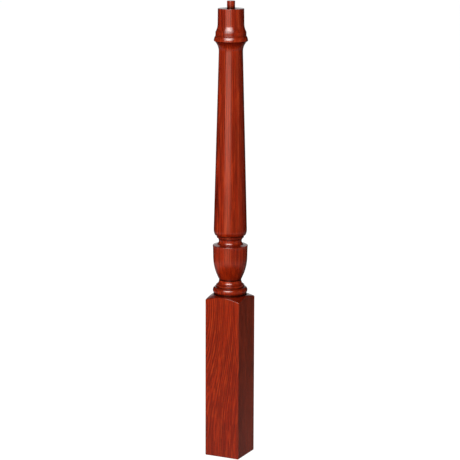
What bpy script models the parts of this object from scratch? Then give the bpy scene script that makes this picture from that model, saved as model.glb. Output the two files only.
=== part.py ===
"""A wooden newel post for a staircase, turned from one square blank.

The foot keeps the square section of the blank. Above a sloped shoulder the members are turned round:
a ring, a vase, a neck, a long tapered shaft, a cap and the pin that the handrail drops onto.

Lengths are in metres. Z is up, the origin is the centre of the underside, and the faces of the square
block look along X and Y. Heights and diameters are listed from the floor up.
"""

import math

import bmesh
import bpy

# The square blank and the block that is left of it at the foot
BLANK_SIDE = 0.0889
ARRIS_RADIUS = 0.0015
ARRIS_SEGMENTS = 3
BLOCK_HEIGHT = 0.3889
SHOULDER_RISE = 0.0097

# The ring that stands on the shoulder: a fillet, a half round, a lip and a cove
RING_FOOT_DIAMETER = 0.0780
RING_FOOT_HEIGHT = 0.0034
RING_DIAMETER = 0.0832
RING_LOWER_HEIGHT = 0.0075
RING_UPPER_HEIGHT = 0.0080
LIP_DIAMETER = 0.0688
LIP_HEIGHT = 0.0046
LIP_STEP = 0.0005
STEM_DIAMETER = 0.0539
STEM_COVE_HEIGHT = 0.0104
STEM_FILLET_HEIGHT = 0.0011

# The vase: a rounded belly under a tall band, a rim, and a top that slopes up gently to the neck
VASE_FOOT_DIAMETER = 0.0511
VASE_BELLY_HEIGHT = 0.0581
VASE_BELLY_DIAMETER = 0.0819
VASE_BAND_HEIGHT = 0.0226
VASE_BAND_DIAMETER = 0.0829
VASE_RIM_HEIGHT = 0.0036
VASE_RIM_DIAMETER = 0.0840
VASE_RIM_EASE = 0.0012
VASE_TOP_RISE = 0.0020

# The neck between the vase and the shaft: two coves that meet at a throat, and a plain fillet
NECK_FOOT_DIAMETER = 0.0638
NECK_LOWER_HEIGHT = 0.0079
THROAT_DIAMETER = 0.0547
NECK_UPPER_HEIGHT = 0.0086
NECK_HEAD_DIAMETER = 0.0634
NECK_FILLET_DIAMETER = 0.0650
NECK_FILLET_HEIGHT = 0.0065

# The long tapered shaft, rounded under at its foot
SHAFT_FOOT_DIAMETER = 0.0735
SHAFT_ROUND_HEIGHT = 0.0123
SHAFT_LOWER_DIAMETER = 0.0794
SHAFT_HEIGHT = 0.4263
SHAFT_UPPER_DIAMETER = 0.0570

# The cap: a cove that flares out to a rim, an ovolo, a fillet, a flare and a nearly straight drum
CAP_COVE_HEIGHT = 0.0242
CAP_EDGE_DIAMETER = 0.0774
CAP_RIM_DIAMETER = 0.0804
CAP_RIM_HEIGHT = 0.0012
CAP_OVOLO_HEIGHT = 0.0115
CAP_FILLET_DIAMETER = 0.0729
CAP_FILLET_HEIGHT = 0.0087
CAP_FLARE_HEIGHT = 0.0189
CAP_DRUM_DIAMETER = 0.0628
CAP_DRUM_HEIGHT = 0.0350
CAP_TOP_DIAMETER = 0.0620
CAP_TOP_EASE = 0.0008

# The pin that the handrail drops onto
PIN_DIAMETER = 0.01905
PIN_LENGTH = 0.0180
PIN_CHAMFER = 0.0008

# How far the turning reaches past the blank, so that the two shapes cross cleanly
TURNING_MARGIN = 0.004

# How finely the round shapes are cut into flat faces
TURNING_STEPS = 48
ARC_STEP_ANGLE = math.radians(12)
ARC_STEP_LENGTH = 0.010
SHARP_ANGLE = math.radians(24)
MERGE_DISTANCE = 0.00001

STAIN_COLOUR = (0.25, 0.026, 0.010, 1.0)
LACQUER_ROUGHNESS = 0.22


def line(points, diameter, rise):
    """Adds a straight stretch that ends this much higher, at this diameter."""
    height = points[-1][1]
    points.append((diameter / 2, height + rise))


def arc(points, diameter, rise, plumb):
    """Adds a circular arc that ends this much higher, at this diameter.

    The arc is plumb at its "foot" or at its "head". The angle that it turns through follows from that:
    half of it has the change of radius over the rise as its tangent.
    """
    start_radius, start_height = points[-1]
    end_radius = diameter / 2
    growth = end_radius - start_radius
    turn = 2 * math.atan2(abs(growth), rise)
    arc_radius = rise / math.sin(turn)
    segments = max(2, math.ceil(turn / ARC_STEP_ANGLE), math.ceil(arc_radius * turn / ARC_STEP_LENGTH))
    side = math.copysign(1, growth)
    for step in range(1, segments + 1):
        along = turn * step / segments
        if plumb == "foot":
            radius = start_radius + side * arc_radius * (1 - math.cos(along))
            height = start_height + arc_radius * math.sin(along)
        else:
            radius = end_radius - side * arc_radius * (1 - math.cos(turn - along))
            height = start_height + rise - arc_radius * math.sin(turn - along)
        points.append((radius, height))


def cut_block(points):
    """Clears the corners of the block and slopes in over them to the foot of the ring."""
    corner_radius = BLANK_SIDE / math.sqrt(2) - ARRIS_RADIUS * (math.sqrt(2) - 1)
    swing_radius = corner_radius + TURNING_MARGIN
    slope = SHOULDER_RISE / (corner_radius - RING_FOOT_DIAMETER / 2)
    points.append((0.0, -TURNING_MARGIN))
    line(points, 2 * swing_radius, 0.0)
    line(points, 2 * swing_radius, BLOCK_HEIGHT + TURNING_MARGIN * (1 - slope))
    line(points, RING_FOOT_DIAMETER, SHOULDER_RISE + slope * TURNING_MARGIN)


def cut_ring(points):
    """The half round between its fillet and its lip, and the cove that runs up to the stem."""
    line(points, RING_FOOT_DIAMETER, RING_FOOT_HEIGHT)
    arc(points, RING_DIAMETER, RING_LOWER_HEIGHT, "head")
    arc(points, LIP_DIAMETER, RING_UPPER_HEIGHT, "foot")
    line(points, LIP_DIAMETER, LIP_HEIGHT)
    line(points, LIP_DIAMETER - 2 * LIP_STEP, 0.0)
    arc(points, STEM_DIAMETER, STEM_COVE_HEIGHT, "head")
    line(points, STEM_DIAMETER, STEM_FILLET_HEIGHT)


def cut_vase(points):
    """The belly swells from a small foot and turns plumb where the band starts. The rim flares a little."""
    line(points, VASE_FOOT_DIAMETER, 0.0)
    arc(points, VASE_BELLY_DIAMETER, VASE_BELLY_HEIGHT, "head")
    line(points, VASE_BAND_DIAMETER, VASE_BAND_HEIGHT)
    line(points, VASE_RIM_DIAMETER, VASE_RIM_HEIGHT)
    arc(points, VASE_RIM_DIAMETER - 2 * VASE_RIM_EASE, VASE_RIM_EASE, "foot")


def cut_neck(points):
    """The sloped top of the vase, the two coves of the neck, and the fillet under the shaft."""
    line(points, NECK_FOOT_DIAMETER, VASE_TOP_RISE)
    arc(points, THROAT_DIAMETER, NECK_LOWER_HEIGHT, "head")
    arc(points, NECK_HEAD_DIAMETER, NECK_UPPER_HEIGHT, "foot")
    line(points, NECK_FILLET_DIAMETER, 0.0)
    line(points, NECK_FILLET_DIAMETER, NECK_FILLET_HEIGHT)


def cut_shaft(points):
    """The shaft is rounded under at its foot and tapers straight to the cap."""
    line(points, SHAFT_FOOT_DIAMETER, 0.0)
    arc(points, SHAFT_LOWER_DIAMETER, SHAFT_ROUND_HEIGHT, "head")
    line(points, SHAFT_UPPER_DIAMETER, SHAFT_HEIGHT)


def cut_cap(points):
    """The cove runs out to the rim, and the rest draws in again to the drum and its flat top."""
    arc(points, CAP_EDGE_DIAMETER, CAP_COVE_HEIGHT, "foot")
    line(points, CAP_RIM_DIAMETER, 0.0)
    line(points, CAP_RIM_DIAMETER, CAP_RIM_HEIGHT)
    arc(points, CAP_FILLET_DIAMETER, CAP_OVOLO_HEIGHT, "foot")
    line(points, CAP_FILLET_DIAMETER, CAP_FILLET_HEIGHT)
    arc(points, CAP_DRUM_DIAMETER, CAP_FLARE_HEIGHT, "head")
    line(points, CAP_TOP_DIAMETER, CAP_DRUM_HEIGHT)
    arc(points, CAP_TOP_DIAMETER - 2 * CAP_TOP_EASE, CAP_TOP_EASE, "foot")


def cut_pin(points):
    """The pin stands up from the flat top of the cap, with a small chamfer round its end."""
    line(points, PIN_DIAMETER, 0.0)
    line(points, PIN_DIAMETER, PIN_LENGTH - PIN_CHAMFER)
    line(points, PIN_DIAMETER - 2 * PIN_CHAMFER, PIN_CHAMFER)
    line(points, 0.0, 0.0)


def turned_profile():
    """The outline that the lathe follows, as (radius, height) pairs from the floor up."""
    points = []
    for cut in (cut_block, cut_ring, cut_vase, cut_neck, cut_shaft, cut_cap, cut_pin):
        cut(points)
    return points


def make_collection(name):
    collection = bpy.data.collections.new(name)
    bpy.context.scene.collection.children.link(collection)
    return collection


def make_turning(profile, collection):
    """The outline turned about Z. It runs from the top down, so that the faces point outwards."""
    mesh = bpy.data.meshes.new("turning")
    vertices = [(radius, 0.0, height) for radius, height in reversed(profile)]
    edges = [(index, index + 1) for index in range(len(vertices) - 1)]
    mesh.from_pydata(vertices, edges, [])
    turning = bpy.data.objects.new("turning", mesh)
    collection.objects.link(turning)
    screw = turning.modifiers.new("Turn", "SCREW")
    screw.axis = "Z"
    screw.steps = TURNING_STEPS
    screw.render_steps = TURNING_STEPS
    screw.use_merge_vertices = True
    screw.merge_threshold = MERGE_DISTANCE
    turning.hide_render = True
    turning.display_type = "WIRE"
    return turning


def make_blank(length, collection):
    """The square blank, standing on the floor, with its four long arrises eased."""
    mesh = bpy.data.meshes.new("newel_post")
    blank = bmesh.new()
    bmesh.ops.create_cube(blank, size=1.0)
    bmesh.ops.translate(blank, verts=blank.verts, vec=(0.0, 0.0, 0.5))
    bmesh.ops.scale(blank, verts=blank.verts, vec=(BLANK_SIDE, BLANK_SIDE, length))
    long_edges = [edge for edge in blank.edges if edge.verts[0].co.z != edge.verts[1].co.z]
    bmesh.ops.bevel(
        blank, geom=long_edges, offset=ARRIS_RADIUS, segments=ARRIS_SEGMENTS, profile=0.5, affect="EDGES"
    )
    blank.to_mesh(mesh)
    blank.free()
    post = bpy.data.objects.new("newel_post", mesh)
    collection.objects.link(post)
    return post


def turn_post(post, turning):
    """Keeps what the blank and the turning share, and shades the round members smooth."""
    boolean = post.modifiers.new("Turned", "BOOLEAN")
    boolean.operation = "INTERSECT"
    boolean.solver = "EXACT"
    boolean.object = turning
    graph = bpy.context.evaluated_depsgraph_get()
    turned_mesh = bpy.data.meshes.new_from_object(post.evaluated_get(graph))
    post.modifiers.remove(boolean)
    post.data = turned_mesh
    turned_mesh.name = "newel_post"
    turned_mesh.shade_smooth()
    turned_mesh.set_sharp_from_angle(angle=SHARP_ANGLE)


def stained_wood():
    material = bpy.data.materials.new("stained_wood")
    material.use_nodes = True
    shader = material.node_tree.nodes["Principled BSDF"]
    shader.inputs["Base Color"].default_value = STAIN_COLOUR
    shader.inputs["Roughness"].default_value = LACQUER_ROUGHNESS
    shader.inputs["Metallic"].default_value = 0.0
    return material


def main():
    for old_object in list(bpy.data.objects):
        bpy.data.objects.remove(old_object)
    parts = make_collection("newel_post")
    cutters = make_collection("cutters")
    profile = turned_profile()
    turning = make_turning(profile, cutters)
    post = make_blank(profile[-1][1] + TURNING_MARGIN, parts)
    turn_post(post, turning)
    post.data.materials.clear()
    post.data.materials.append(stained_wood())


main()
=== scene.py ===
# %% [markdown]
# # A turned newel post
# A newel post is the stout post at the foot of a stair. It starts as one square blank of oak. A lathe
# turns the upper part round, the foot stays square, and then the whole post is stained red and lacquered.
# The solid model of the post is loaded first, because everything here has to fit it.

import math

import bpy
import numpy as np
from mathutils import Euler, Matrix, Vector


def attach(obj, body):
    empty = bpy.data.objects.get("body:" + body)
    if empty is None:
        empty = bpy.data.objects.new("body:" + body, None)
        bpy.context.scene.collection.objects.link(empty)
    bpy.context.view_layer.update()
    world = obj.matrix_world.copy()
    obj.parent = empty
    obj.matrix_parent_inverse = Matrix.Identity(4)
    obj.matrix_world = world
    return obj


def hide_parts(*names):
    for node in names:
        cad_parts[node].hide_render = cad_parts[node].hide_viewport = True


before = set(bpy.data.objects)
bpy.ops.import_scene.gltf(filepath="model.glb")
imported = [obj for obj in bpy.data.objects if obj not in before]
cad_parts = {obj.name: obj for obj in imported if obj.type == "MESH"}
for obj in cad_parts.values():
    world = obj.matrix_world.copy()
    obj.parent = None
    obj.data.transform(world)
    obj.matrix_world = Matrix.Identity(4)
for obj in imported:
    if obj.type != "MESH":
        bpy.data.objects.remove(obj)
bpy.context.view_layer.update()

# %% [markdown]
# ## The camera
# The camera comes first, because each look at the work is through it. It stands to the right of the
# front face, 1.4 m up and 4.4 m away, and looks down a little. The lens is long, so the post hardly
# narrows towards its foot. Azimuth is the angle round the post, from the front face towards the right one.

# %% Camera
CAMERA_AZIMUTH = math.radians(25.94)
CAMERA_DISTANCE = 4.411
CAMERA_HEIGHT = 1.445
CAMERA_PITCH = math.radians(11.41)
CAMERA_YAW = math.radians(0.010)
CAMERA_ROLL = math.radians(0.180)
CAMERA_LENS = 147.3
SENSOR_WIDTH = 36.0


def round_the_post(azimuth, distance, height):
    """The point whose x is distance times sin azimuth and whose y is minus distance times cos azimuth."""
    return Vector((distance * math.sin(azimuth), -distance * math.cos(azimuth), height))


camera_data = bpy.data.cameras.new("camera")
camera_data.lens = CAMERA_LENS
camera_data.sensor_width = SENSOR_WIDTH
camera = bpy.data.objects.new("camera", camera_data)
bpy.context.scene.collection.objects.link(camera)
camera.location = round_the_post(CAMERA_AZIMUTH, CAMERA_DISTANCE, CAMERA_HEIGHT)
aim = Euler((math.pi / 2 - CAMERA_PITCH, 0.0, CAMERA_AZIMUTH + CAMERA_YAW)).to_matrix()
camera.rotation_euler = (aim @ Matrix.Rotation(CAMERA_ROLL, 3, "Z")).to_euler()
bpy.context.scene.camera = camera
bpy.context.scene.view_settings.view_transform = "Standard"
print("camera at", tuple(round(value, 3) for value in camera.location))

# %% [markdown]
# ## Drawing the outline
# A lathe follows an outline, and everything above the shoulder is that outline swept round the axis.
# The outline could be a curve drawn by hand, but a turner reads it as straight stretches and arcs with
# sizes, so two helpers add one or the other. Both put a point at every tenth of a millimetre, because
# the sharp corners are softened afterwards and that needs an even, fine row of points.

# %% Straight stretches and arcs
OUTLINE_STEP = 0.0001


def line(outline, diameter, rise):
    """Adds a straight stretch: the points divide the way to the new radius and height evenly."""
    start = outline[-1][-1]
    end = np.array([diameter / 2, start[1] + rise])
    count = max(1, math.ceil(np.linalg.norm(end - start) / OUTLINE_STEP))
    share = np.arange(1, count + 1)[:, None] / count
    outline.append(start + share * (end - start))


def arc(outline, diameter, rise, plumb):
    """Adds a circular arc that is plumb at its "foot" or at its "head".

    The arc turns through twice the angle whose tangent is the change of radius over the rise. Seen from
    its plumb end, a point at angle a lies arc radius times (1 - cos a) to the side and arc radius times
    sin a along.
    """
    start_radius, start_height = outline[-1][-1]
    growth = diameter / 2 - start_radius
    turn = 2 * math.atan2(abs(growth), rise)
    arc_radius = rise / math.sin(turn)
    count = max(1, math.ceil(arc_radius * turn / OUTLINE_STEP))
    along = turn * np.arange(1, count + 1) / count
    side = math.copysign(arc_radius, growth)
    if plumb == "foot":
        radii = start_radius + side * (1 - np.cos(along))
        heights = start_height + arc_radius * np.sin(along)
    else:
        radii = diameter / 2 - side * (1 - np.cos(turn - along))
        heights = start_height + rise - arc_radius * np.sin(turn - along)
    outline.append(np.column_stack([radii, heights]))


print("outline drawn in steps of", OUTLINE_STEP * 1000, "mm")

# %% [markdown]
# ## The shoulder
# Where the square block ends, the lathe tool slopes in to the first round member. That slope is a cone,
# and a cone meets the four flat sides of the block in four arcs. The outline starts on the cone, just
# outside the ring that stands on it. The rest of the cone is made later, together with the block.

# %% Start on the shoulder
BLANK_SIDE = 0.0889
ARRIS_RADIUS = 0.0015
BLOCK_HEIGHT = 0.3889
SHOULDER_RISE = 0.0097
RING_FOOT_DIAMETER = 0.0780
CONE_START_DIAMETER = 0.0840

corner_radius = BLANK_SIDE / math.sqrt(2) - ARRIS_RADIUS * (math.sqrt(2) - 1)
shoulder_slope = SHOULDER_RISE / (corner_radius - RING_FOOT_DIAMETER / 2)
cone_start_height = BLOCK_HEIGHT + shoulder_slope * (corner_radius - CONE_START_DIAMETER / 2)
outline = [np.array([[CONE_START_DIAMETER / 2, cone_start_height]])]
line(outline, RING_FOOT_DIAMETER, BLOCK_HEIGHT + SHOULDER_RISE - cone_start_height)
print("the shoulder slopes at", round(math.degrees(math.atan(shoulder_slope)), 1), "degrees")

# %% [markdown]
# ## The ring
# The ring is the base of the turned part: a low fillet, a full half round, a lip, and a cove that runs
# up to the stem under the vase. The small step above the lip is what catches a dark line.

# %% Ring
RING_FOOT_HEIGHT = 0.0034
RING_DIAMETER = 0.0832
RING_LOWER_HEIGHT = 0.0075
RING_UPPER_HEIGHT = 0.0080
LIP_DIAMETER = 0.0688
LIP_HEIGHT = 0.0046
LIP_STEP = 0.0005
STEM_DIAMETER = 0.0539
STEM_COVE_HEIGHT = 0.0104
STEM_FILLET_HEIGHT = 0.0011

line(outline, RING_FOOT_DIAMETER, RING_FOOT_HEIGHT)
arc(outline, RING_DIAMETER, RING_LOWER_HEIGHT, plumb="head")
arc(outline, LIP_DIAMETER, RING_UPPER_HEIGHT, plumb="foot")
line(outline, LIP_DIAMETER, LIP_HEIGHT)
line(outline, LIP_DIAMETER - 2 * LIP_STEP, 0.0)
arc(outline, STEM_DIAMETER, STEM_COVE_HEIGHT, plumb="head")
line(outline, STEM_DIAMETER, STEM_FILLET_HEIGHT)
print("ring ends at", round(outline[-1][-1][1], 4))

# %% [markdown]
# ## The vase
# The vase swells from a narrow foot, turns plumb and ends in a tall, nearly straight band. Its rim
# flares a little, and its top slopes up gently to the neck, so that it shows as a pale, shiny ledge.

# %% Vase
VASE_FOOT_DIAMETER = 0.0511
VASE_BELLY_DIAMETER = 0.0819
VASE_BELLY_HEIGHT = 0.0581
VASE_BAND_DIAMETER = 0.0829
VASE_BAND_HEIGHT = 0.0226
VASE_RIM_DIAMETER = 0.0840
VASE_RIM_HEIGHT = 0.0036
VASE_RIM_EASE = 0.0012
VASE_TOP_RISE = 0.0020
NECK_FOOT_DIAMETER = 0.0638

line(outline, VASE_FOOT_DIAMETER, 0.0)
arc(outline, VASE_BELLY_DIAMETER, VASE_BELLY_HEIGHT, plumb="head")
line(outline, VASE_BAND_DIAMETER, VASE_BAND_HEIGHT)
line(outline, VASE_RIM_DIAMETER, VASE_RIM_HEIGHT)
arc(outline, VASE_RIM_DIAMETER - 2 * VASE_RIM_EASE, VASE_RIM_EASE, plumb="foot")
line(outline, NECK_FOOT_DIAMETER, VASE_TOP_RISE)
print("vase ends at", round(outline[-1][-1][1], 4))

# %% [markdown]
# ## The neck
# Two coves meet at a throat, and a plain fillet lies on top of them under the shaft. Each cove is plumb
# at the throat, so the two run into each other without a corner.

# %% Neck
THROAT_DIAMETER = 0.0547
NECK_LOWER_HEIGHT = 0.0079
NECK_HEAD_DIAMETER = 0.0634
NECK_UPPER_HEIGHT = 0.0086
NECK_FILLET_DIAMETER = 0.0650
NECK_FILLET_HEIGHT = 0.0065

arc(outline, THROAT_DIAMETER, NECK_LOWER_HEIGHT, plumb="head")
arc(outline, NECK_HEAD_DIAMETER, NECK_UPPER_HEIGHT, plumb="foot")
line(outline, NECK_FILLET_DIAMETER, 0.0)
line(outline, NECK_FILLET_DIAMETER, NECK_FILLET_HEIGHT)
print("neck ends at", round(outline[-1][-1][1], 4))

# %% [markdown]
# ## The shaft
# The shaft is rounded under at its foot and then tapers in one straight line over 43 cm.

# %% Shaft
SHAFT_FOOT_DIAMETER = 0.0735
SHAFT_LOWER_DIAMETER = 0.0794
SHAFT_ROUND_HEIGHT = 0.0123
SHAFT_UPPER_DIAMETER = 0.0570
SHAFT_HEIGHT = 0.4263

line(outline, SHAFT_FOOT_DIAMETER, 0.0)
arc(outline, SHAFT_LOWER_DIAMETER, SHAFT_ROUND_HEIGHT, plumb="head")
line(outline, SHAFT_UPPER_DIAMETER, SHAFT_HEIGHT)
print("shaft ends at", round(outline[-1][-1][1], 4))

# %% [markdown]
# ## The cap
# A cove runs out to a thin rim. Above it come an ovolo, a fillet, a flare and a nearly straight drum
# with a flat top, which the underside of the handrail rests on.

# %% Cap
CAP_EDGE_DIAMETER = 0.0774
CAP_COVE_HEIGHT = 0.0242
CAP_RIM_DIAMETER = 0.0804
CAP_RIM_HEIGHT = 0.0012
CAP_FILLET_DIAMETER = 0.0729
CAP_OVOLO_HEIGHT = 0.0115
CAP_FILLET_HEIGHT = 0.0087
CAP_DRUM_DIAMETER = 0.0628
CAP_FLARE_HEIGHT = 0.0189
CAP_TOP_DIAMETER = 0.0620
CAP_DRUM_HEIGHT = 0.0350
CAP_TOP_EASE = 0.0008

arc(outline, CAP_EDGE_DIAMETER, CAP_COVE_HEIGHT, plumb="foot")
line(outline, CAP_RIM_DIAMETER, 0.0)
line(outline, CAP_RIM_DIAMETER, CAP_RIM_HEIGHT)
arc(outline, CAP_FILLET_DIAMETER, CAP_OVOLO_HEIGHT, plumb="foot")
line(outline, CAP_FILLET_DIAMETER, CAP_FILLET_HEIGHT)
arc(outline, CAP_DRUM_DIAMETER, CAP_FLARE_HEIGHT, plumb="head")
line(outline, CAP_TOP_DIAMETER, CAP_DRUM_HEIGHT)
arc(outline, CAP_TOP_DIAMETER - 2 * CAP_TOP_EASE, CAP_TOP_EASE, plumb="foot")
print("cap ends at", round(outline[-1][-1][1], 4))

# %% [markdown]
# ## The pin
# The pin drops into a hole in the handrail. It is turned from the same wood, with a small chamfer.

# %% Pin
PIN_DIAMETER = 0.01905
PIN_LENGTH = 0.0180
PIN_CHAMFER = 0.0008

line(outline, PIN_DIAMETER, 0.0)
line(outline, PIN_DIAMETER, PIN_LENGTH - PIN_CHAMFER)
line(outline, PIN_DIAMETER - 2 * PIN_CHAMFER, PIN_CHAMFER)
line(outline, 0.0, 0.0)
print("pin ends at", round(outline[-1][-1][1], 4))

# %% [markdown]
# ## Soft corners
# No arris on a sanded and lacquered post is knife sharp, and lacquer rounds out every inner corner. A
# bevel would do for a few edges, but here each corner of the outline needs it. So the whole outline is
# averaged along its length with a bell-shaped weight: straight stretches and wide arcs keep their
# place, and each corner gets a radius of a few tenths of a millimetre.

# %% Soften the outline
CORNER_SOFTNESS = 0.00028
BELL_REACH = 4


def even_points(points, step):
    """The same outline, with its points one step apart along it."""
    lengths = np.concatenate([[0.0], np.cumsum(np.linalg.norm(np.diff(points, axis=0), axis=1))])
    places = np.linspace(0.0, lengths[-1], round(lengths[-1] / step) + 1)
    return np.column_stack([np.interp(places, lengths, points[:, axis]) for axis in range(2)])


def bell(softness):
    """Weights that fall off as exp(-distance squared over twice the softness squared), and add up to one."""
    reach = math.ceil(BELL_REACH * softness / OUTLINE_STEP)
    offsets = np.arange(-reach, reach + 1) * OUTLINE_STEP
    weights = np.exp(-(offsets**2) / (2 * softness**2))
    return weights / weights.sum()


def soften(points, softness):
    """The outline averaged with the bell, run on straight before its start and mirrored past the axis."""
    weights = bell(softness)
    reach = len(weights) // 2
    before = points[0] - np.arange(reach, 0, -1)[:, None] * (points[1] - points[0])
    after = points[-2 : -2 - reach : -1] * np.array([-1.0, 1.0])
    longer = np.vstack([before, points, after])
    return np.column_stack([np.convolve(longer[:, axis], weights, mode="valid") for axis in range(2)])


sharp_outline = even_points(np.vstack(outline), OUTLINE_STEP)
soft_outline = soften(sharp_outline, CORNER_SOFTNESS)
soft_outline[-1, 0] = 0.0
print(len(soft_outline), "points, the most moved one by", np.abs(soft_outline - sharp_outline).max())

# %% [markdown]
# ## Choosing the rows
# A row of faces for every tenth of a millimetre would be far too many. A straight stretch needs few
# rows and a tight corner needs many, so the rows are spaced by how much the outline turns between them.
# The hollow part of the same turning, in radians a metre and blurred a little, tells where the deep corners
# are. The finish paints shade there, heavier under an overhang than on a ledge, as a cast shadow falls; a
# little of that darkness is stain that gathers in the corners. So the depth of the corners is kept for the
# finish.

# %% Pick rows by curvature
ROW_TURN = math.radians(6)
ROW_LENGTH = 0.009
CREASE_BLUR = 0.0010
CREASE_LEAST_TURN = 190.0
CREASE_FULL_TURN = 330.0
OVERHANG_SHARE = 1.7


def turning(points):
    """The angle by which the outline turns at each point. It is positive where the outline is hollow."""
    steps = np.diff(points, axis=0)
    headings = np.unwrap(np.arctan2(steps[:, 1], steps[:, 0]))
    return np.concatenate([[0.0], -np.diff(headings), [0.0]])


def choose_rows(points):
    """Places one unit apart, where a unit is the turn over ROW_TURN plus the length over ROW_LENGTH."""
    demand = np.abs(turning(points)) / ROW_TURN + OUTLINE_STEP / ROW_LENGTH
    total = np.cumsum(demand)
    wanted = np.linspace(total[0], total[-1], math.ceil(total[-1]))
    return np.interp(wanted, total, np.arange(len(points)))


row_places = choose_rows(soft_outline)
turned_rows = np.column_stack(
    [np.interp(row_places, np.arange(len(soft_outline)), soft_outline[:, axis]) for axis in range(2)]
)
# Painted shade for the deep corners: weighted up where the outline widens upwards, under an overhang, where
# a shadow falls.
overhang_shade_weight = np.where(np.gradient(sharp_outline[:, 0]) > 0, OVERHANG_SHARE, 1.0)
hollow_turn = np.maximum(turning(sharp_outline), 0.0) * overhang_shade_weight / OUTLINE_STEP
blurred_turn = np.convolve(hollow_turn, bell(CREASE_BLUR), mode="same")
crease_range = CREASE_FULL_TURN - CREASE_LEAST_TURN
crease_depth = np.clip((blurred_turn - CREASE_LEAST_TURN) / crease_range, 0.0, 1.0)
turned_creases = np.interp(row_places, np.arange(len(crease_depth)), crease_depth)
print(len(turned_rows), "turned rows")

# %% [markdown]
# ## The columns
# The columns are the directions round the axis. The square block needs close columns only at its four
# arrises, which are eased with a small radius, and a pair of guards beside them keeps the shading of
# the flat faces flat.

# %% Directions round the axis
FACE_COLUMNS = 42
ARRIS_COLUMNS = 6
GUARD_ANGLE = math.radians(0.5)

face_edge = math.atan2(BLANK_SIDE / 2 - ARRIS_RADIUS, BLANK_SIDE / 2)
face_angles = np.linspace(-face_edge + GUARD_ANGLE, face_edge - GUARD_ANGLE, FACE_COLUMNS)
arris_angles = np.linspace(face_edge, math.pi / 2 - face_edge, ARRIS_COLUMNS + 1)
quarter = np.concatenate([face_angles, arris_angles])
angles = (quarter + np.arange(4)[:, None] * math.pi / 2).ravel()


def blank_radius(directions):
    """How far the side of the blank is from the axis in each direction.

    On a face it is half the side over the cosine of the angle from the middle of the face. On an arris it
    is c cos d plus the root of (a squared - c squared sin squared d), where a is the arris radius, c is how
    far its centre is from the axis, and d is the angle from the diagonal.
    """
    from_face = np.abs((directions + math.pi / 4) % (math.pi / 2) - math.pi / 4)
    from_diagonal = math.pi / 4 - from_face
    centre = math.sqrt(2) * (BLANK_SIDE / 2 - ARRIS_RADIUS)
    inside = np.maximum(ARRIS_RADIUS**2 - (centre * np.sin(from_diagonal)) ** 2, 0.0)
    on_arris = centre * np.cos(from_diagonal) + np.sqrt(inside)
    return np.where(from_face < face_edge, BLANK_SIDE / 2 / np.cos(from_face), on_arris)


side = blank_radius(angles)
print(len(angles), "columns, block radius from", round(side.min(), 5), "to", round(side.max(), 5))

# %% [markdown]
# ## The block and its shoulder
# The block's rows can't come from one outline, because the side of the block is at another distance in
# each direction. So a row here is a whole array, with one radius and one height for each column. The
# edge between a flat side and the cone, and the edge round the underside, are eased with a small bend.

# %% Rows of the block
EDGE_EASE = 0.0016
EDGE_ROWS = 6
BLOCK_ROWS = 12
CONE_ROWS = 7
GUARD_LENGTH = 0.0010


def bend(start, corner, end):
    """Rows of a bend: (1-t) squared times start, plus 2t(1-t) times corner, plus t squared times end."""
    share = np.linspace(0.0, 1.0, EDGE_ROWS)[:, None, None]
    return (1 - share) ** 2 * start + 2 * share * (1 - share) * corner + share**2 * end


def between(start, end, count):
    """Rows that divide the way from start to end, with a guard row close to either end."""
    share = np.linspace(0.0, 1.0, count)
    reach = np.linalg.norm(end - start, axis=0).mean()
    share[0] = GUARD_LENGTH / reach
    share[-1] = 1 - GUARD_LENGTH / reach
    return start + share[:, None, None] * (end - start)


def row(radius, height):
    """One row, as an array of radii above an array of heights."""
    return np.stack([radius + 0 * side, height + 0 * side])


top = BLOCK_HEIGHT + shoulder_slope * (corner_radius - side)
foot_edge = bend(row(side - EDGE_EASE, 0.0), row(side, 0.0), row(side, EDGE_EASE))
top_edge = bend(
    row(side, top - EDGE_EASE), row(side, top), row(side - EDGE_EASE, top + shoulder_slope * EDGE_EASE)
)
underside = row(side - EDGE_EASE - GUARD_LENGTH, 0.0)[None]
block_side = between(foot_edge[-1], top_edge[0], BLOCK_ROWS)
cone = between(top_edge[-1], row(*turned_rows[0]), CONE_ROWS)[:-1]
block_rows = np.concatenate([underside, foot_edge, block_side, top_edge, cone])
print(len(block_rows), "rows in the block and shoulder")

# %% [markdown]
# ## One closed surface
# Block, shoulder and turned rows now make one grid, row upon row. The underside and the end of the pin
# each close in a single point on the axis. The faces are listed so that they look outwards.

# %% Build the post
def closed_surface(name, radii, heights, directions, foot, head):
    """A grid of points (radius cos angle, radius sin angle, height), closed by a point at either end."""
    rows, columns = radii.shape
    grid = np.stack([radii * np.cos(directions), radii * np.sin(directions), heights], axis=-1)
    points = np.vstack([grid.reshape(-1, 3), [[0.0, 0.0, foot], [0.0, 0.0, head]]])
    here = np.arange(rows * columns).reshape(rows, columns)
    beside = np.roll(here, -1, axis=1)
    quads = np.stack([here[:-1], beside[:-1], beside[1:], here[1:]], axis=-1).reshape(-1, 4)
    foot_index = np.full(columns, rows * columns)
    foot_fan = np.column_stack([foot_index, beside[0], here[0]])
    head_fan = np.column_stack([here[-1], beside[-1], foot_index + 1])
    mesh = bpy.data.meshes.new(name)
    mesh.from_pydata(points.tolist(), [], quads.tolist() + foot_fan.tolist() + head_fan.tolist())
    mesh.shade_smooth()
    piece = bpy.data.objects.new(name, mesh)
    bpy.context.scene.collection.objects.link(piece)
    return piece


turned_radii = np.repeat(turned_rows[:-1, :1], len(angles), axis=1)
turned_heights = np.repeat(turned_rows[:-1, 1:], len(angles), axis=1)
post_radii = np.vstack([block_rows[:, 0], turned_radii])
post_heights = np.vstack([block_rows[:, 1], turned_heights])
post = closed_surface("turned_post", post_radii, post_heights, angles, 0.0, turned_rows[-1, 1])
triangles = sum(len(face.vertices) - 2 for face in post.data.polygons)
print("the post has", triangles, "triangles")
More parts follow.
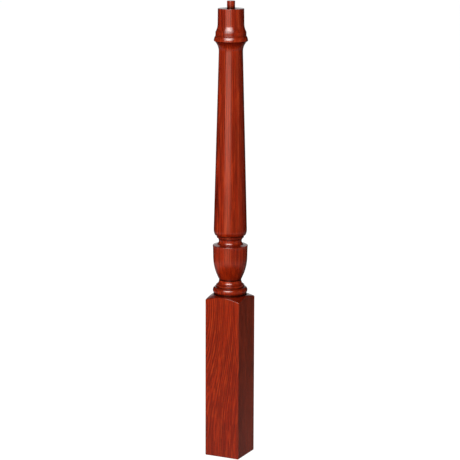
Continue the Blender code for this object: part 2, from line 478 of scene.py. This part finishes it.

# %% [markdown]
# ## Where shade is painted, and where stain soaks in
# Shade falls in the deep corners, most of all under an overhang, and the finish paints it there as a darker
# colour; a little of that darkness is stain that stays in the corners when it is wiped off. Where a slope or
# a cove cuts across the fibres, the open ends drink more stain. An underside is made darker still, and that
# extra is painted shade. A texture could be painted for this, but the shape already knows it. So both are
# kept on the mesh as attributes, one number for each point, for the finish to read.

# %% Keep corners and cut fibres on the mesh
# The extra share on an underside is painted shade.
UNDERSIDE_SHADE_SHARE = 1.5


def keep_on_mesh(mesh, name, values):
    """Writes one number for each point of the mesh."""
    attribute = mesh.attributes.new(name, "FLOAT", "POINT")
    attribute.data.foreach_set("value", values.astype(np.float32))


def slope_share(radii, heights):
    """How far each row leans out of plumb: the change of radius over the length, and more for an underside
    as painted shade.
    """
    across = np.gradient(radii, axis=0)
    upward = np.gradient(heights, axis=0)
    share = np.abs(across) / np.hypot(across, upward)
    return np.minimum(np.where(across > 0, UNDERSIDE_SHADE_SHARE, 1.0) * share, 1.0)


# The crease depth is painted shade for the deep corners. The cut fibres take more stain, and an underside
# more still, as painted shade.
row_creases = np.concatenate([np.zeros(len(block_rows)), turned_creases[:-1]])
point_creases = np.append(np.repeat(row_creases, len(angles)), [0.0, 0.0])
point_slopes = np.append(slope_share(post_radii, post_heights).ravel(), [1.0, 1.0])
keep_on_mesh(post.data, "crease", point_creases)
keep_on_mesh(post.data, "cut_fibres_and_underside_shade", point_slopes)
# The printed share is of the points that take painted crease shade.
print("stain gathers at", round(float((point_creases > 0).mean()), 3), "of the points")

# %% [markdown]
# ## Helpers for the finish
# A material is a tree of nodes. A few short helpers make a node, join two sockets, do one sum, mix two
# colours or read a noise, so that the recipe for the wood stays readable.

# %% Node helpers
def add_node(tree, kind, **settings):
    """Makes a node of this kind and sets its own settings."""
    made = tree.nodes.new(kind)
    for name, value in settings.items():
        setattr(made, name, value)
    return made


def feed(tree, target, source):
    """Joins a socket to its source, or gives it the source as a plain value."""
    if isinstance(source, bpy.types.NodeSocket):
        tree.links.new(source, target)
    else:
        target.default_value = source


def sum_of(tree, operation, *sources):
    """One step of arithmetic on numbers or sockets."""
    made = add_node(tree, "ShaderNodeMath", operation=operation)
    for index, source in enumerate(sources):
        feed(tree, made.inputs[index], source)
    return made.outputs[0]


def remap(tree, source, zero_at, one_at):
    """A smooth step from 0 at one value to 1 at the other, which may be the lower of the two."""
    made = add_node(tree, "ShaderNodeMapRange", interpolation_type="SMOOTHSTEP")
    feed(tree, made.inputs["Value"], source)
    made.inputs["From Min"].default_value = zero_at
    made.inputs["From Max"].default_value = one_at
    return made.outputs["Result"]


def blend_colours(tree, share, first, second):
    """The first colour where the share is 0, the second where it is 1."""
    made = add_node(tree, "ShaderNodeMix", data_type="RGBA")
    feed(tree, made.inputs["Factor"], share)
    feed(tree, made.inputs["A"], first)
    feed(tree, made.inputs["B"], second)
    return made.outputs["Result"]


def noise(tree, place, scale, stretch, detail):
    """Cloudy noise, drawn out along the grain: heights are shrunk before it is read."""
    squeezed = add_node(tree, "ShaderNodeMapping")
    feed(tree, squeezed.inputs["Vector"], place)
    squeezed.inputs["Scale"].default_value = (1.0, 1.0, 1.0 / stretch)
    made = add_node(tree, "ShaderNodeTexNoise")
    feed(tree, made.inputs["Vector"], squeezed.outputs["Vector"])
    made.inputs["Scale"].default_value = scale
    made.inputs["Detail"].default_value = detail
    return made.outputs["Fac"]


print("node helpers ready")

# %% [markdown]
# ## Growth rings
# The lines on a board are growth rings, cut lengthways. A picture of wood would not run round the
# corners, so the rings are worked out in space instead: each point of the wood knows how far it is from
# the pith of the tree. The pith here lies outside the blank, in front of it and to the left, and it
# wanders a little with height as far up as the block reaches. That makes the lines lean on the left half
# of the front face, and run straight and close on the right half. Above the block the pith is straight,
# and so are the lines. Distance from the pith, place along the ring and height together are the grain's
# own coordinates, and the streaks are read in them, so that they lie along the lines.

# %% Ring number in the wood
PITH_X = -0.085
PITH_Y = -0.128
PITH_SWAY = 0.0215
PITH_SWAY_LENGTH = 0.75
PITH_SWAY_START = 0.22
PITH_STRAIGHT_LOW = 0.36
PITH_STRAIGHT_HIGH = 0.50
RING_WIDTH = 0.0038
RING_WAVER = 0.0045
RING_STRETCH = 0.4

wood = bpy.data.materials.new("stained_wood")
wood.use_nodes = True
tree = wood.node_tree
shader = tree.nodes["Principled BSDF"]
place = add_node(tree, "ShaderNodeTexCoord").outputs["Object"]
parts_of_place = add_node(tree, "ShaderNodeSeparateXYZ")
feed(tree, parts_of_place.inputs[0], place)
across, depth, height = parts_of_place.outputs

sway_turn = 2 * math.pi / PITH_SWAY_LENGTH
sway_angle = sum_of(tree, "MULTIPLY_ADD", height, sway_turn, -sway_turn * PITH_SWAY_START)
sway_share = remap(tree, height, PITH_STRAIGHT_HIGH, PITH_STRAIGHT_LOW)
sway_reach = sum_of(tree, "MULTIPLY", sway_share, PITH_SWAY)
sway = sum_of(tree, "MULTIPLY", sum_of(tree, "SINE", sway_angle), sway_reach)
from_pith_x = sum_of(tree, "SUBTRACT", across, PITH_X)
from_pith_y = sum_of(tree, "SUBTRACT", sum_of(tree, "SUBTRACT", depth, PITH_Y), sway)
square_x = sum_of(tree, "MULTIPLY", from_pith_x, from_pith_x)
pith_distance = sum_of(tree, "SQRT", sum_of(tree, "MULTIPLY_ADD", from_pith_y, from_pith_y, square_x))
waver = noise(tree, place, scale=26.0, stretch=7.0, detail=2.0)
along_ring = sum_of(tree, "MULTIPLY", sum_of(tree, "SUBTRACT", across, depth), RING_STRETCH)
grain_node = add_node(tree, "ShaderNodeCombineXYZ")
for socket, source in zip(grain_node.inputs, (pith_distance, along_ring, height)):
    feed(tree, socket, source)
grain = grain_node.outputs["Vector"]
wavering = sum_of(tree, "MULTIPLY_ADD", waver, RING_WAVER, pith_distance)
ring_number = sum_of(tree, "DIVIDE", wavering, RING_WIDTH)
ring_phase = sum_of(tree, "FRACT", ring_number)
print("rings are", RING_WIDTH * 1000, "mm wide")

# %% [markdown]
# ## Pores
# Oak starts each ring with a band of open pores, and they drink more stain than the dense wood after
# them. So each ring begins dark and then clears. The pores themselves are fine dashes along the grain,
# thick in the dark band and rare outside it.

# %% Dark bands and pores
BAND_RISE = (0.0, 0.12)
BAND_FALL = (0.55, 0.18)
BAND_FADE = (0.34, 0.62)
PORES_EVERYWHERE = 0.34
PORES_IN_BAND = 0.14
PORE_EDGE = (0.0, 0.06)

rising = remap(tree, ring_phase, *BAND_RISE)
falling = remap(tree, ring_phase, *BAND_FALL)
early_wood = sum_of(tree, "MULTIPLY", rising, falling)
fading = remap(tree, noise(tree, grain, scale=48.0, stretch=16.0, detail=1.0), *BAND_FADE)
dark_band = sum_of(tree, "MULTIPLY", early_wood, fading)
dashes = noise(tree, place, scale=1500.0, stretch=24.0, detail=1.0)
pore_limit = sum_of(tree, "MULTIPLY_ADD", early_wood, PORES_IN_BAND, PORES_EVERYWHERE)
pores = remap(tree, sum_of(tree, "SUBTRACT", pore_limit, dashes), *PORE_EDGE)
print("pores and bands ready")

# %% [markdown]
# ## Colour of the stain, and painted shade
# Under the red stain the wood keeps its own unevenness: broad lighter and darker patches, pale and dark
# streaks along the grain, ring bands and pores. Each is mixed in turn, from the broadest to the finest.
# Last come the cut fibres, which hold more stain and on an underside also take painted shade, and the deep
# corners, where shade is painted in along with a little stain that gathers there.

# %% Stain colours
CLEAR_RED = (0.137, 0.0100, 0.0007, 1.0)
DEEP_RED = (0.110, 0.0060, 0.0005, 1.0)
GLOW_ORANGE = (0.180, 0.0210, 0.0024, 1.0)
BAND_RED = (0.040, 0.0020, 0.0005, 1.0)
PORE_BROWN = (0.016, 0.0012, 0.0005, 1.0)
# CREASE_SHADE_BROWN is the painted shade of the deep corners.
CREASE_SHADE_BROWN = (0.004, 0.0004, 0.0002, 1.0)
PATCH_RANGE = (0.30, 0.72)
GLOW_RANGE = (0.48, 0.64)
STREAK_RANGE = (0.42, 0.58)
FIBRE_RANGE = (0.15, 1.0)
GLOW_SHARE = 0.46
STREAK_SHARE = 0.50
BAND_SHARE = 0.80
PORE_SHARE = 0.60
FIBRE_SHARE = 0.72
CREASE_SHARE = 0.95

patches = remap(tree, noise(tree, place, scale=16.0, stretch=5.0, detail=3.0), *PATCH_RANGE)
glows = remap(tree, noise(tree, grain, scale=330.0, stretch=20.0, detail=2.0), *GLOW_RANGE)
streaks = remap(tree, noise(tree, grain, scale=290.0, stretch=24.0, detail=3.0), *STREAK_RANGE)
# More stain on cut fibres, with painted shade added on undersides.
fibres_node = add_node(tree, "ShaderNodeAttribute", attribute_name="cut_fibres_and_underside_shade")
fibre_stain_and_underside_shade = remap(tree, fibres_node.outputs["Fac"], *FIBRE_RANGE)
# Painted shade in the deep corners, with a little gathered stain.
crease_node = add_node(tree, "ShaderNodeAttribute", attribute_name="crease")
painted_crease_shade = sum_of(tree, "MULTIPLY", crease_node.outputs["Fac"], CREASE_SHARE)
ground = blend_colours(tree, patches, CLEAR_RED, DEEP_RED)
lit_ground = blend_colours(tree, sum_of(tree, "MULTIPLY", glows, GLOW_SHARE), ground, GLOW_ORANGE)
streaked = blend_colours(tree, sum_of(tree, "MULTIPLY", streaks, STREAK_SHARE), lit_ground, BAND_RED)
banded = blend_colours(tree, sum_of(tree, "MULTIPLY", dark_band, BAND_SHARE), streaked, BAND_RED)
pored = blend_colours(tree, sum_of(tree, "MULTIPLY", pores, PORE_SHARE), banded, PORE_BROWN)
fibre_stained_and_shaded = blend_colours(tree, sum_of(tree, "MULTIPLY", fibre_stain_and_underside_shade, FIBRE_SHARE), pored, BAND_RED)
# The deep corners are darkened here with painted shade.
stained = blend_colours(tree, painted_crease_shade, fibre_stained_and_shaded, CREASE_SHADE_BROWN)
feed(tree, shader.inputs["Base Color"], stained)
print("stain colours ready")

# %% [markdown]
# ## Lacquer
# The lacquer is a clear, glossy film over the stained wood, so it is the coat of the shader. One glossy
# surface would be simpler, but the wood under the film has a wider and redder sheen of its own. Pores and
# bands sink the wood a little under the film, and the film itself stays smooth. It is taken away only in the
# deep corners, so that no reflection lightens the painted shade there.

# %% Lacquer
WOOD_ROUGHNESS = 0.36
PORE_ROUGHNESS = 0.18
WOOD_SHEEN = 0.18
WOOD_SHEEN_RED = (1.0, 0.25, 0.08, 1.0)
LACQUER_ROUGHNESS = 0.17
LACQUER_IOR = 1.5
PORE_DEPTH = 0.00012
BAND_DEPTH_SHARE = 0.35
BUMP_STRENGTH = 0.5

shader.inputs["Specular IOR Level"].default_value = WOOD_SHEEN
shader.inputs["Specular Tint"].default_value = WOOD_SHEEN_RED
shader.inputs["Coat Roughness"].default_value = LACQUER_ROUGHNESS
shader.inputs["Coat IOR"].default_value = LACQUER_IOR
roughness = sum_of(tree, "MULTIPLY_ADD", pores, PORE_ROUGHNESS, WOOD_ROUGHNESS)
feed(tree, shader.inputs["Roughness"], roughness)
# The coat is taken away where the painted crease shade is, so that no reflection lightens it.
feed(tree, shader.inputs["Coat Weight"], sum_of(tree, "SUBTRACT", 1.0, painted_crease_shade))
sunk = sum_of(tree, "MULTIPLY_ADD", dark_band, -BAND_DEPTH_SHARE, sum_of(tree, "MULTIPLY", pores, -1.0))
bump = add_node(tree, "ShaderNodeBump")
bump.inputs["Strength"].default_value = BUMP_STRENGTH
bump.inputs["Distance"].default_value = PORE_DEPTH
feed(tree, bump.inputs["Height"], sunk)
feed(tree, shader.inputs["Normal"], bump.outputs["Normal"])
post.data.materials.append(wood)
print("finish:", wood.name, "with", len(tree.nodes), "nodes")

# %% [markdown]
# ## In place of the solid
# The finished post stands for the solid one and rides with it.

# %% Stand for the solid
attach(post, "root")
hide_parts("newel_post")

# %% [markdown]
# ## The floor
# The post stands on a plain pale floor that runs back out of sight. Most of its light is its own, so it
# stays nearly white to its far edge and the shadow at the foot is faint. It lights nothing and casts no
# shadow, because the room stands in for its glow and one of the lamps reaches below it.

# %% Floor
FLOOR_REACH = 40.0
FLOOR_GLOW = 0.97
FLOOR_DIFFUSE = 0.10

floor_mesh = bpy.data.meshes.new("floor")
floor_corners = [(x * FLOOR_REACH, y * FLOOR_REACH, 0.0) for x, y in ((-1, -1), (1, -1), (1, 1), (-1, 1))]
floor_mesh.from_pydata(floor_corners, [], [(0, 1, 2, 3)])
floor = bpy.data.objects.new("floor", floor_mesh)
bpy.context.scene.collection.objects.link(floor)
floor_paint = bpy.data.materials.new("floor")
floor_paint.use_nodes = True
floor_shader = floor_paint.node_tree.nodes["Principled BSDF"]
floor_shader.inputs["Base Color"].default_value = (FLOOR_DIFFUSE, FLOOR_DIFFUSE, FLOOR_DIFFUSE, 1.0)
floor_shader.inputs["Specular IOR Level"].default_value = 0.0
floor_shader.inputs["Emission Color"].default_value = (1.0, 1.0, 1.0, 1.0)
floor_shader.inputs["Emission Strength"].default_value = FLOOR_GLOW
floor_mesh.materials.append(floor_paint)
floor.visible_diffuse = False
floor.visible_glossy = False
floor.visible_shadow = False
print("floor laid")

# %% [markdown]
# ## The studio
# A glossy post shows its lamps, so each lamp's place is chosen by where its reflection falls. A single
# panel would mirror as a patch with hard edges, so a softbox here is a stack of four panels, each narrower
# than the last, and its light fades towards the sides. One large softbox stands high, a little to the left
# of the camera, and gives the short bright spots on the ring, the neck and the cap. Below it a dimmer,
# rose strip gives the long soft sheen on the cap and the shaft. A weak, redder strip goes on from there to
# below the floor, because the belly of the vase leans out and mirrors that far down. A warm reflector to
# the right draws a second, weaker line. The flat ledges mirror a pale panel behind the post, and the right
# side of the block mirrors a faint straw-coloured one to the right of that.

# %% Lamps
WHITE = (1.0, 1.0, 1.0)
WARM = (1.0, 0.20, 0.06)
STRAW = (1.0, 0.95, 0.55)
ROSE = (1.0, 0.46, 0.36)
DEEP_ROSE = (1.0, 0.29, 0.16)
LAMP_TARGET_HEIGHT = 0.6
LAYER_WIDTHS = (1.6, 1.2, 0.8, 0.4)


def panel(name, azimuth, distance, low, high, width, radiance, colour):
    """A rectangular lamp that faces the post. Its power is pi times its area times its radiance."""
    data = bpy.data.lights.new(name, "AREA")
    data.shape = "RECTANGLE"
    data.size = width
    data.size_y = high - low
    data.energy = math.pi * width * (high - low) * radiance
    data.color = colour
    lamp = bpy.data.objects.new(name, data)
    bpy.context.scene.collection.objects.link(lamp)
    lamp.location = round_the_post(math.radians(azimuth), distance, (low + high) / 2)
    target = Vector((0.0, 0.0, LAMP_TARGET_HEIGHT))
    lamp.rotation_euler = (target - lamp.location).to_track_quat("-Z", "Y").to_euler()
    lamp.visible_camera = False


def softbox(name, azimuth, distance, low, high, width, radiance, colour=WHITE, fade_low=0.0, fade_high=0.0):
    """Panels on top of each other, each narrower than the last, so that the light fades outwards."""
    for layer, share in enumerate(LAYER_WIDTHS):
        inward = layer / (len(LAYER_WIDTHS) - 1)
        panel(
            name,
            azimuth,
            distance,
            low + fade_low * inward,
            high - fade_high * inward,
            width * share,
            radiance / len(LAYER_WIDTHS),
            colour,
        )


softbox(
    "key",
    azimuth=9.0,
    distance=2.9,
    low=1.6,
    high=3.8,
    width=2.3,
    radiance=17.5,
    fade_low=0.3,
    fade_high=0.9,
)
softbox("strip", azimuth=4.0, distance=2.9, low=0.3, high=1.75, width=1.7, radiance=12.7, colour=ROSE)
softbox(
    "low strip",
    azimuth=4.0,
    distance=2.9,
    low=-1.2,
    high=0.3,
    width=1.7,
    radiance=3.2,
    colour=DEEP_ROSE,
    fade_low=1.2,
)
panel("reflector", azimuth=89.0, distance=2.6, low=0.1, high=1.9, width=0.9, radiance=1.25, colour=WARM)
panel("rear", azimuth=154.0, distance=3.0, low=-1.3, high=-0.1, width=1.0, radiance=0.035, colour=STRAW)
panel("backdrop", azimuth=205.94, distance=3.0, low=0.3, high=2.4, width=1.7, radiance=0.65, colour=WHITE)

# %% [markdown]
# ## The room
# The room is white where the camera looks past the floor. The wood is lit by its pale walls, while the
# ceiling and the ground are dim, so that ledges and undersides stay darker than plumb sides. The gloss
# mirrors none of the walls, or the whole post would look grey. It mirrors only a faint glow of the floor
# in front, which the lower half of the post can see.

# %% Room light
ROOM_FILL = 1.45
WALL_REACH = (0.9, 0.1)
FLOOR_MIRRORED = 0.26
FLOOR_FAR_EDGE = (0.25, 0.33)
FLOOR_NEAR_EDGE = (0.55, 0.42)
FLOOR_FRONT = (2.0, -0.6)

room = bpy.data.worlds.new("room")
room.use_nodes = True
bpy.context.scene.world = room
sky = room.node_tree
ray = add_node(sky, "ShaderNodeLightPath")
background = sky.nodes["Background"]
background.inputs["Color"].default_value = (1.0, 1.0, 1.0, 1.0)
direction = add_node(sky, "ShaderNodeSeparateXYZ")
feed(sky, direction.inputs[0], add_node(sky, "ShaderNodeTexCoord").outputs["Generated"])
downward = sum_of(sky, "MULTIPLY", direction.outputs["Z"], -1.0)
past_far_edge = remap(sky, downward, *FLOOR_FAR_EDGE)
before_near_edge = remap(sky, downward, *FLOOR_NEAR_EDGE)
near_floor = sum_of(sky, "MULTIPLY", past_far_edge, before_near_edge)
front_floor = remap(sky, direction.outputs["Y"], *FLOOR_FRONT)
mirrored = sum_of(sky, "MULTIPLY", sum_of(sky, "MULTIPLY", near_floor, front_floor), FLOOR_MIRRORED)
glossy = ray.outputs["Is Glossy Ray"]
walls = remap(sky, sum_of(sky, "ABSOLUTE", direction.outputs["Z"]), *WALL_REACH)
matt = sum_of(sky, "MULTIPLY", sum_of(sky, "MULTIPLY_ADD", glossy, -ROOM_FILL, ROOM_FILL), walls)
lighting = sum_of(sky, "MULTIPLY_ADD", glossy, mirrored, matt)
brightness = sum_of(sky, "MAXIMUM", lighting, ray.outputs["Is Camera Ray"])
feed(sky, background.inputs["Strength"], brightness)
room.cycles.sampling_method = "NONE"
print("room fill", ROOM_FILL)
